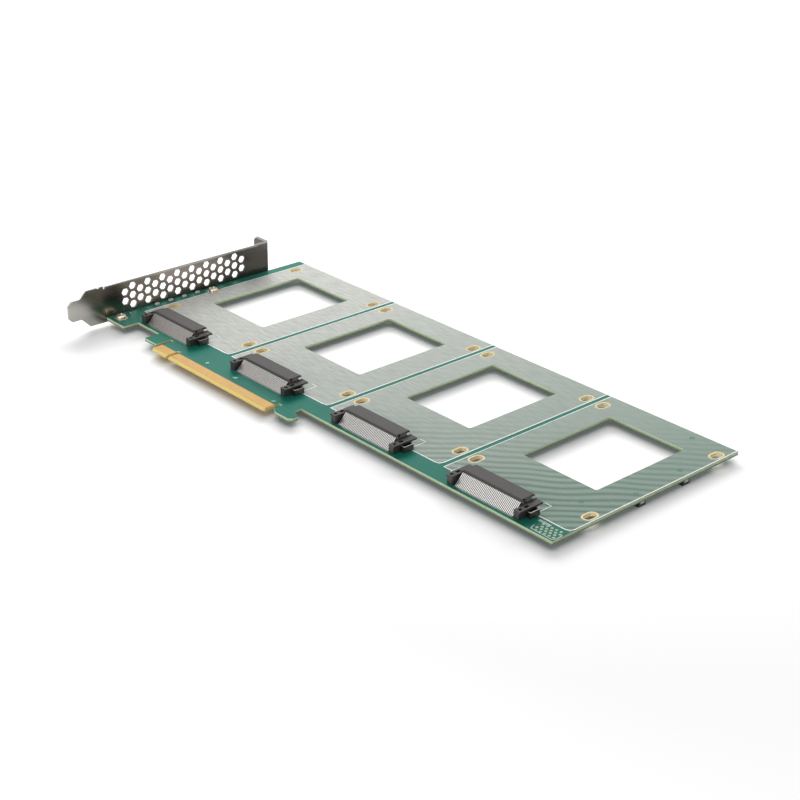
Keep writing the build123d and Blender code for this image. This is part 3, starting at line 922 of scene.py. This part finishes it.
@dataclass
class Dresser:
    """What every sub-assembly needs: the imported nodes, the plan, and the shared trees."""

    nodes: dict[str, Object]
    board: Board
    pads: RepeatTree = field(default_factory=pad_tree)
    rows: RepeatTree = field(default_factory=row_tree)
    ribbons: RepeatTree = field(default_factory=ribbon_tree)
    made: dict[str, Finish] = field(default_factory=dict)
    ink_height: float = 0.03

    def finish(self, kind: Any) -> Finish:
        """Returns the named finish, made on its first use.

        Args:
            kind: One of the finish dataclasses.

        Returns:
            The finish.
        """
        if kind.name not in self.made:
            self.made[kind.name] = Finish(kind, self.board)
        return self.made[kind.name]

    def dress(self, node: str, kind: Any) -> None:
        """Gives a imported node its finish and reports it.

        Args:
            node: The node's name.
            kind: One of the finish dataclasses.
        """
        self.finish(kind).wear(self.nodes[node])
        LOG.info("dressed %s in %s", node, kind.name)

    def keep(self, piece: Object, slot: str) -> None:
        """Fixes a new piece to the card and reports it.

        Args:
            piece: The new piece.
            slot: The record's material slot, or nothing where the record has none for it. Not used.
        """
        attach(piece, "root")
        LOG.info("made %s with %d faces", piece.name, len(piece.data.polygons))

    def lay_pads(
        self,
        name: str,
        spots: Sequence[Point],
        outer: Flat,
        inner: Flat,
        height: float,
        kind: Any,
        slot: str = "gold",
    ) -> None:
        """Lays flat open pads on the board.

        Args:
            name: The piece's name.
            spots: Pad middles in the plan, each with the level of the pad's underside.
            outer: The pad's width along the card and its length across it.
            inner: The opening's width and length.
            height: How far a pad stands up from its level.
            kind: The finish.
            slot: The record's material slot.
        """
        piece = new_piece(name, [self.board.place(*spot) for spot in spots])
        values = {
            "Outer Width": outer[0] * MM,
            "Outer Length": outer[1] * MM,
            "Inner Width": inner[0] * MM,
            "Inner Length": inner[1] * MM,
            "Height": height * MM,
            "Finish": self.finish(kind).material,
        }
        self.pads.run(piece, values)
        self.keep(piece, slot)

    def lay_rows(
        self,
        name: str,
        starts: Sequence[Point],
        count: int,
        pitch: float,
        size: Point,
        kind: Any,
        slot: str,
    ) -> None:
        """Lays rows of small blocks along the card.

        Args:
            name: The piece's name.
            starts: Middle of each row's first block, in the plan.
            count: Blocks in a row.
            pitch: Distance from block to block.
            size: A block's size.
            kind: The finish.
            slot: The record's material slot.
        """
        piece = new_piece(name, [self.board.place(*start) for start in starts])
        block = tuple(length * MM for length in size)
        material = self.finish(kind).material
        values = {"Count": count, "Pitch": pitch * MM, "Size": block, "Finish": material}
        self.rows.run(piece, values)
        self.keep(piece, slot)

    def lay_lines(
        self, name: str, paths: Sequence[Sequence[Flat]], width: float, level: float = 0.02
    ) -> None:
        """Prints lines on the component side.

        Args:
            name: The piece's name.
            paths: Each line's corners in the plan.
            width: The lines' width.
            level: Height of the lines' middle over the board.
        """
        points: list[Vector] = []
        edges: list[tuple[int, int]] = []
        for path in paths:
            first = len(points)
            points += [self.board.place(x, y, level) for x, y in path]
            edges += [(first + step, first + step + 1) for step in range(len(path) - 1)]
        piece = new_piece(name, points, edges)
        material = self.finish(PRINT_WHITE).material
        values = {"Width": width * MM, "Height": self.ink_height * MM, "Finish": material}
        self.ribbons.run(piece, values)
        self.keep(piece, "")


def skin(shape: bmesh.types.BMesh, loops: Sequence[Sequence[Vector]]) -> None:
    """Joins loops of as many points each, lowest first, into one closed skin.

    Args:
        shape: The mesh that the skin goes into.
        loops: Loops of points that run left about, seen from above.
    """
    rings = [[shape.verts.new(point) for point in loop] for loop in loops]
    shape.faces.new(list(reversed(rings[0])))
    shape.faces.new(rings[-1])
    for lower, upper in zip(rings, rings[1:]):
        for step, corner in enumerate(lower):
            after = (step + 1) % len(lower)
            shape.faces.new((corner, lower[after], upper[after], upper[step]))


def as_object(name: str, shape: bmesh.types.BMesh) -> Object:
    """Turns a finished mesh into an object of the scene.

    Args:
        name: The object's name.
        shape: The mesh, which is freed.

    Returns:
        The object.
    """
    piece = new_piece(name, [])
    shape.to_mesh(piece.data)
    shape.free()
    return piece


def cut_away(piece: Object, cutter: Object) -> None:
    """Cuts one closed mesh out of another and takes the cutter away.

    Args:
        piece: What is cut.
        cutter: What is cut out of it.
    """
    cut = piece.modifiers.new("cut", "BOOLEAN")
    cut.operation = "DIFFERENCE"
    cut.solver = "EXACT"
    cut.object = cutter
    apply_modifier(piece, cut)
    bpy.data.objects.remove(cutter)


def arc(middle: Flat, radius: float, first: float, last: float, steps: int) -> list[Flat]:
    """Returns points along an arc.

    Args:
        middle: The arc's middle.
        radius: Its radius.
        first: Angle of its first point in degrees.
        last: Angle of its last point.
        steps: Number of steps between them.

    Returns:
        The points.
    """
    turns = [math.radians(first + (last - first) * step / steps) for step in range(steps + 1)]
    return [(middle[0] + radius * math.cos(turn), middle[1] + radius * math.sin(turn)) for turn in turns]


@dataclass
class CircuitBoard:
    """The board with its mask, slots, plated pads, print and test pads."""

    kit: Dresser
    slot: Flat = (3.84, 6.5)
    slot_sides: int = 14
    pad: Flat = (5.1, 7.8)
    plating: float = 0.06
    screw_pad: Flat = (6.0, 6.0)
    screw_hole: Flat = (3.44, 3.44)
    copper: float = 0.035
    weld: float = 0.001
    line_width: float = 0.68
    socket_line_width: float = 0.51
    mark_width: float = 0.4
    border_width: float = 0.3
    outline_left: float = -3.6
    outline_right: float = 64.95
    outline_near: float = -14.6
    outline_corner: float = 3.0
    corner_steps: int = 6
    outline_far: float = 86.2
    socket_right: float = 46.85
    socket_front: float = -5.45
    socket_print: float = 3.5
    dashes: tuple[Flat, ...] = ((47.3, -30.3), (66.2, -27.4), (-6.1, -21.0))
    bars: tuple[Flat, ...] = ((66.2, -27.4), (88.0, -27.2))
    slants: tuple[Flat, ...] = ((86.4, -27.4), (117.0, -29.2))
    mark_reach: float = 0.9
    slant_rise: float = 0.7
    slant_run: float = 1.3
    spots: tuple[Flat, ...] = ((275.3, 26.7), (274.0, 55.1), (265.6, 5.6), (258.7, 81.6))
    spot_size: Flat = (2.1, 2.1)
    spot_hole: Flat = (1.3, 1.3)
    spot_level: float = 0.005
    test_rows: int = 4
    test_columns: int = 5
    test_start: Flat = (54.4, -17.9)
    test_step: Flat = (2.1, 0.2)
    test_row: Flat = (1.05, -1.75)
    test_pad: Flat = (1.15, 1.15)
    test_hole: Flat = (0.5, 0.5)
    header_bars: int = 8
    header_start: Flat = (51.3, -17.4)
    header_step: float = 0.8
    header_reach: float = 1.3
    border: tuple[Flat, ...] = (
        (52.4, -21.0), (53.3, -23.6), (64.3, -23.8), (65.1, -22.6), (64.9, -18.6),
    )

    def build(self) -> None:
        """Dresses the board and lays its plating and print."""
        self.open_slots()
        self.kit.dress("edge_contacts_component_side", GOLD_FINGERS)
        self.kit.dress("edge_contacts_solder_side", GOLD_FINGERS)
        self.plate_holes(Side.COMPONENT)
        self.plate_holes(Side.SOLDER)
        self.line_slots()
        self.print_outlines()
        self.print_marks()
        self.corner_group()

    def open_slots(self) -> None:
        """Makes the board with each drive hole opened to a slot across the card."""
        shape = bmesh.new()
        shape.from_mesh(self.kit.nodes["circuit_board"].data)
        bmesh.ops.remove_doubles(shape, verts=shape.verts, dist=self.weld * MM)
        piece = as_object("slotted_board", shape)
        radius, reach = self.slot[0] / 2, (self.slot[1] - self.slot[0]) / 2
        outline = arc((0.0, reach), radius, 0, 180, self.slot_sides)
        outline += arc((0.0, -reach), radius, 180, 360, self.slot_sides)
        cutter = bmesh.new()
        board = self.kit.board
        levels = (-2 * board.thickness, board.thickness)
        for x, y, _ in board.drive_holes():
            skin(cutter, [[board.place(x + dx, y + dy, z) for dx, dy in outline] for z in levels])
        cut_away(piece, as_object("slots", cutter))
        self.kit.finish(MaskedLaminate()).wear(piece)
        self.kit.keep(piece, "board")
        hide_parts("circuit_board")

    def plate_holes(self, side: Side) -> None:
        """Lays a gold pad round each drive slot and each bracket screw.

        Args:
            side: The face of the board.
        """
        level = 0.0 if side is Side.COMPONENT else -self.kit.board.thickness - self.copper
        slots = self.kit.board.drive_holes(level)
        name = f"drive_slot_pads_{side.name.lower()}"
        self.kit.lay_pads(name, slots, self.pad, self.slot, self.copper, GOLD_PADS)
        if side is Side.COMPONENT:
            screws = [(x, y, level) for x, y in self.kit.board.screw_places]
            sizes = (self.screw_pad, self.screw_hole, self.copper)
            self.kit.lay_pads("bracket_screw_pads", screws, *sizes, GOLD_PADS)

    def line_slots(self) -> None:
        """Lines the walls of the drive slots with plated copper."""
        depth = self.kit.board.thickness
        inner = (self.slot[0] - 2 * self.plating, self.slot[1] - 2 * self.plating)
        walls = self.kit.board.drive_holes(-depth)
        self.kit.lay_pads("drive_slot_plating", walls, self.slot, inner, depth, GOLD_BARREL_PAINTED_LIGHT)

    def print_outlines(self) -> None:
        """Prints each drive's outline, open at the far edge, and its receptacle's free corner."""
        drives: list[list[Flat]] = []
        sockets: list[list[Flat]] = []
        near, corner, front = self.outline_near, self.outline_corner, self.socket_front
        for cell in self.kit.board.cells():
            left, right = cell + self.outline_left, cell + self.outline_right
            turn = arc((right - corner, near + corner), corner, -90, 0, self.corner_steps)
            far = self.outline_far
            drives.append([(left, far), (left, near), *turn, (right, far)])
            end = cell + self.socket_right
            sockets.append([(end - self.socket_print, front), (end, front), (end, near)])
        self.kit.lay_lines("cell_outlines", drives, self.line_width)
        self.kit.lay_lines("receptacle_outlines", sockets, self.socket_line_width)

    def print_marks(self) -> None:
        """Prints the marks by the fingers and the open round spots of the last cell."""
        reach, rise = self.mark_reach, self.slant_rise
        marks = [[(x - reach, y), (x + reach, y)] for x, y in self.dashes]
        marks += [[(x, y - reach), (x, y + reach)] for x, y in self.bars]
        marks += [[(x, y - rise), (x + self.slant_run, y + rise)] for x, y in self.slants]
        self.kit.lay_lines("printed_marks", marks, self.mark_width)
        spots = [(x, y, self.spot_level) for x, y in self.spots]
        sizes = (self.spot_size, self.spot_hole, self.copper)
        self.kit.lay_pads("open_spots", spots, *sizes, BARE_MASK, "board")

    def corner_group(self) -> None:
        """Lays the test pads, the header marks and their outline at the free near corner."""
        cell = self.kit.board.cells()[-1]
        (x, y), (step_x, step_y), (row_x, row_y) = self.test_start, self.test_step, self.test_row
        spots = [
            (cell + x + step_x * step + row_x * (row % 2), y + row_y * row + step_y * step, 0.0)
            for row in range(self.test_rows)
            for step in range(self.test_columns)
        ]
        self.kit.lay_pads("test_pads", spots, self.test_pad, self.test_hole, self.copper, TIN_PADS)
        x, y = self.header_start
        places = [cell + x + self.header_step * step for step in range(self.header_bars)]
        bars = [[(place, y), (place, y + self.header_reach)] for place in places]
        self.kit.lay_lines("header_marks", bars, self.mark_width)
        border = [(cell + x, y) for x, y in self.border]
        self.kit.lay_lines("group_outline", [border], self.border_width)


@dataclass
class Bracket:
    """The slot bracket with its two cross-recessed pan-head screws."""

    kit: Dresser
    head_radius: float = 2.5
    head_edge: float = 0.12
    head_rim: float = 0.75
    head_height: float = 1.9
    dome_angles: tuple[float, ...] = (0, 20, 40, 60, 75, 86)
    dome_fullness: float = 0.62
    shank_radius: float = 1.45
    shank_length: float = 4.0
    thread_pitch: float = 0.5
    thread_depth: float = 0.28
    thread_steps: int = 6
    recess_span: float = 2.9
    recess_width: float = 0.75
    recess_depth: float = 1.2
    recess_foot: float = 0.4
    recess_over: float = 0.3
    sides: int = 32
    sharp_angle: float = 38.0

    def build(self) -> None:
        """Dresses the bracket and makes its screws."""
        self.kit.dress("io_bracket", BracketNickel())
        shape, cutter = bmesh.new(), bmesh.new()
        for x, y in self.kit.board.screw_places:
            centre = self.kit.board.place(x, y)
            skin(shape, self.screw_loops(centre))
            skin(cutter, self.recess_loops(centre))
        piece = as_object("pan_head_screws", shape)
        cut_away(piece, as_object("recesses", cutter))
        piece.data.shade_smooth()
        piece.data.set_sharp_from_angle(angle=math.radians(self.sharp_angle))
        self.kit.finish(SCREW_NICKEL).wear(piece)
        self.kit.keep(piece, "screw")
        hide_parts("bracket_screws")

    def thread(self, height: float, turn: float) -> float:
        """Returns the shank's radius at a height below the head and a part of a turn."""
        wave = math.cos(math.tau * (height / self.thread_pitch - turn))
        return self.shank_radius - self.thread_depth * (0.5 + 0.5 * wave)

    def screw_loops(self, centre: Vector) -> list[list[Vector]]:
        """Returns a screw's loops from the tip up: threaded shank, rim and domed head.

        Args:
            centre: Middle of the head's seat.

        Returns:
            The loops.
        """
        rise = self.thread_pitch / self.thread_steps
        levels = [rise * row - self.shank_length for row in range(round(self.shank_length / rise))]
        turns = [step / self.sides for step in range(self.sides)]
        loops = [[(self.thread(z, turn), z) for turn in turns] for z in levels]
        radius, rim, edge = self.head_radius, self.head_rim, self.head_edge
        head = [(self.shank_radius, 0.0), (radius - edge, 0.0), (radius, edge)]
        for angle in map(math.radians, self.dome_angles):
            reach = radius * math.cos(angle) ** self.dome_fullness
            head.append((reach, rim + (self.head_height - rim) * math.sin(angle)))
        loops += [[profile] * self.sides for profile in head]
        rays = [(math.cos(math.tau * turn), math.sin(math.tau * turn)) for turn in turns]
        return [
            [centre + Vector((r * x, r * y, z)) * MM for (x, y), (r, z) in zip(rays, loop)]
            for loop in loops
        ]

    def recess_loops(self, centre: Vector) -> list[list[Vector]]:
        """Returns the loops of the cross that is driven into a head, narrower at its foot.

        Args:
            centre: Middle of the head's seat.

        Returns:
            The loops.
        """
        span, wing = self.recess_span / 2, self.recess_width / 2
        arm = [(wing, -wing), (span, -wing), (span, wing)]
        cross = [
            (x * math.cos(turn) - y * math.sin(turn), x * math.sin(turn) + y * math.cos(turn))
            for turn in (math.radians(45 + 90 * quarter) for quarter in range(4))
            for x, y in arm
        ]
        foot, top = self.head_height - self.recess_depth, self.head_height + self.recess_over
        return [
            [centre + Vector((x * share, y * share, z)) * MM for x, y in cross]
            for share, z in ((self.recess_foot, foot), (1.0, top))
        ]


@dataclass
class Receptacles:
    """The four drive receptacles with their contacts, hold-downs and solder."""

    kit: Dresser
    contact_count: int = 40
    contact_pitch: float = 0.8
    body_middle: float = 26.75
    solder_place: Flat = (-22.55, 0.04)
    solder_size: Point = (0.5, 1.5, 0.08)
    spring_place: Flat = (-13.9, 4.64)
    spring_size: Point = (0.42, 4.4, 0.22)

    def build(self) -> None:
        """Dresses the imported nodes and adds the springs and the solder."""
        for number in range(1, CELLS + 1):
            self.kit.dress(f"drive_receptacle_{number}", BLACK_MOULDING)
            self.kit.dress(f"receptacle_contacts_{number}", TIN_STRIP)
            self.kit.dress(f"receptacle_hold_downs_{number}", TIN_CLIP)
        first = self.body_middle - (self.contact_count - 1) / 2 * self.contact_pitch
        rows = (
            ("contact_solder", self.solder_place, self.solder_size, SOLDER, "contact"),
            ("socket_springs", self.spring_place, self.spring_size, GOLD_FINGERS, "gold"),
        )
        for name, (y, z), size, kind, slot in rows:
            starts = [(cell + first, y, z) for cell in self.kit.board.cells()]
            step = (self.contact_count, self.contact_pitch)
            self.kit.lay_rows(name, starts, *step, size, kind, slot)


@dataclass
class SmallParts:
    """Lamps on the component side and the power parts underneath."""

    kit: Dresser
    packages: tuple[str, ...] = (
        "power_capacitors", "power_inductors", "voltage_regulators", "load_switches",
        "clock_chip", "memory_chip",
    )
    capacitors: tuple[Flat, ...] = ((274.77, 27.0), (274.77, 54.0), (31.0, 83.6), (173.4, 83.6))
    capacitor_length: float = 7.3
    terminal: Point = (0.1, 2.4, 1.5)
    chip_start: Flat = (36.0, -4.0)
    chip_size: Point = (1.6, 0.8, 0.8)
    chip_pitch: float = 3.2
    chip_count: int = 4

    def build(self) -> None:
        """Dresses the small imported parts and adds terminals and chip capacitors."""
        self.kit.dress("status_lamps", LAMP_WHITE)
        for node in self.packages:
            self.kit.dress(node, PACKAGE_BLACK)
        under = -self.kit.board.thickness
        # A tin tab stands against each end of a power capacitor.
        reach = (self.capacitor_length + self.terminal[0]) / 2
        tabs = [(x - reach, y, under - self.terminal[2] / 2) for x, y in self.capacitors]
        row = (2, 2 * reach, self.terminal)
        self.kit.lay_rows("capacitor_terminals", tabs, *row, SOLDER, "contact")
        (x, y), level = self.chip_start, under - self.chip_size[2] / 2
        chips = [(cell + x, y, level) for cell in self.kit.board.cells()]
        row = (self.chip_count, self.chip_pitch, self.chip_size)
        self.kit.lay_rows("chip_capacitors", chips, *row, CERAMIC_TAN, "dark_part")


@dataclass(frozen=True)
class SoftBox:
    """A lamp that points at the middle of the card: its place and size in metres, in watts."""

    name: str
    spot: Point
    size: Flat
    power: float
    tone: str = WHITE_LIGHT

    def hang(self) -> Object:
        """Adds the lamp to the scene.

        Returns:
            The lamp.
        """
        data = bpy.data.lights.new(self.name, "AREA")
        data.shape = "RECTANGLE"
        data.size, data.size_y = self.size
        data.energy = self.power
        data.color = linear(self.tone)[:3]
        lamp = bpy.data.objects.new(self.name, data)
        lamp.location = self.spot
        lamp.rotation_euler = (-Vector(self.spot)).to_track_quat("-Z", "Y").to_euler()
        bpy.context.scene.collection.objects.link(lamp)
        return lamp


# The back lamp makes the shadow, and the floor lamp whitens the paper alone, so that the
# shadow fades out near the card. The front lamp lights the card's near walls alone.
BACK_BOX = SoftBox("back_box", (-0.78, 0.71, 0.56), (1.3, 0.5), 19.5)
FLOOR_BOX = SoftBox("floor_box", (-0.3, 0.3, 1.2), (2.2, 2.2), 9.5)
OVERHEAD_BOX = SoftBox("overhead_box", (0.0, 0.1, 1.2), (1.2, 1.2), 2.2)
FRONT_BOX = SoftBox("front_box", (0.2, -1.2, 0.45), (0.9, 0.7), 5.5, "#FFFDFA")


def group(name: str) -> bpy.types.Collection:
    """Makes an empty collection."""
    return bpy.data.collections.new(name)


@dataclass
class Studio:
    """Floor, light and the photograph's camera."""

    board: Board
    focal_pixels: float = 1619.59
    azimuth: float = 47.8
    elevation: float = 25.53
    distance: float = 705.2
    target: Flat = (152.37, 13.31)
    roll: float = -0.78
    image_pixels: float = 800.0
    sensor: float = 36.0
    near_clip: float = 0.01
    floor_reach: float = 3.0
    sky_light: float = 0.2
    card: bpy.types.Collection = field(default_factory=lambda: group("card"))
    paper: bpy.types.Collection = field(default_factory=lambda: group("paper"))

    def camera(self) -> None:
        """Sets up the camera that the photograph was fitted with."""
        turn, rise, tilt = map(math.radians, (self.azimuth, self.elevation, self.roll))
        level = math.cos(rise)
        back = Vector((math.sin(turn) * level, -math.cos(turn) * level, math.sin(rise)))
        right = Vector((math.cos(turn), math.sin(turn), 0.0))
        up = back.cross(right)
        image_right = right * math.cos(tilt) - up * math.sin(tilt)
        image_up = right * math.sin(tilt) + up * math.cos(tilt)
        stand = Matrix((image_right, image_up, back)).transposed().to_4x4()
        stand.translation = self.board.place(*self.target) + back * self.distance * MM
        lens = bpy.data.cameras.new("photograph_camera")
        lens.sensor_width = self.sensor
        lens.lens = self.focal_pixels / self.image_pixels * self.sensor
        lens.clip_start = self.near_clip
        camera = bpy.data.objects.new("photograph_camera", lens)
        camera.matrix_world = stand
        bpy.context.scene.collection.objects.link(camera)
        bpy.context.scene.camera = camera

    def light_card(self) -> None:
        """Names what the front lamp lights: every mesh but the floor."""
        for piece in bpy.context.scene.objects:
            if piece.type == "MESH" and piece.name != "floor":
                self.card.objects.link(piece)

    def floor(self) -> None:
        """Lays the white floor at the height of the card's lowest point."""
        low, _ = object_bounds()
        half = self.floor_reach
        plan = [(-half, -half), (half, -half), (half, half), (-half, half)]
        floor = new_piece("floor", [Vector((x, y, low[2])) for x, y in plan], (), [(0, 1, 2, 3)])
        floor.data.materials.append(Paper().build())
        self.paper.objects.link(floor)
        floor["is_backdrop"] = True

    def sky(self) -> None:
        """Fills the room with soft light that shows as plain white."""
        world = bpy.data.worlds.new("white_room")
        bpy.context.scene.world = world
        world.use_nodes = True
        graph = Graph(world.node_tree)
        rays = graph.add("LightPath").outputs
        through = {0: rays["Is Camera Ray"], 1: rays["Is Transmission Ray"]}
        straight = graph.add("Math", through, operation="MAXIMUM")
        seen = graph.add("Math", {0: straight, 1: rays["Is Glossy Ray"]}, operation="MAXIMUM")
        strength = graph.add("MapRange", {"Value": seen} | between(WHOLE, (self.sky_light, 1.0)))
        room = graph.add("Background", {"Color": WHITE_LIGHT, "Strength": strength})
        graph.add("OutputWorld", {"Surface": room})

    def build(self) -> None:
        """Sets up everything that isn't part of the card."""
        self.camera()
        self.floor()
        self.sky()
        # The back lamp's mirror image would hide the mask's colour.
        BACK_BOX.hang().visible_glossy = False
        FLOOR_BOX.hang().light_linking.receiver_collection = self.paper
        OVERHEAD_BOX.hang()
        FRONT_BOX.hang().light_linking.receiver_collection = self.card
        bpy.context.scene.view_settings.view_transform = "Standard"


def main() -> None:
    """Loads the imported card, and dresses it."""
    logging.basicConfig(level=logging.INFO, format="%(message)s")
    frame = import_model()
    board = Board()
    studio = Studio(board)
    studio.build()
    kit = Dresser(frame["nodes"], board)
    for assembly in (CircuitBoard(kit), Bracket(kit), Receptacles(kit), SmallParts(kit)):
        assembly.build()
        LOG.info("finished %s", type(assembly).__name__)
    studio.light_card()


if __name__ == "__main__":
    main()
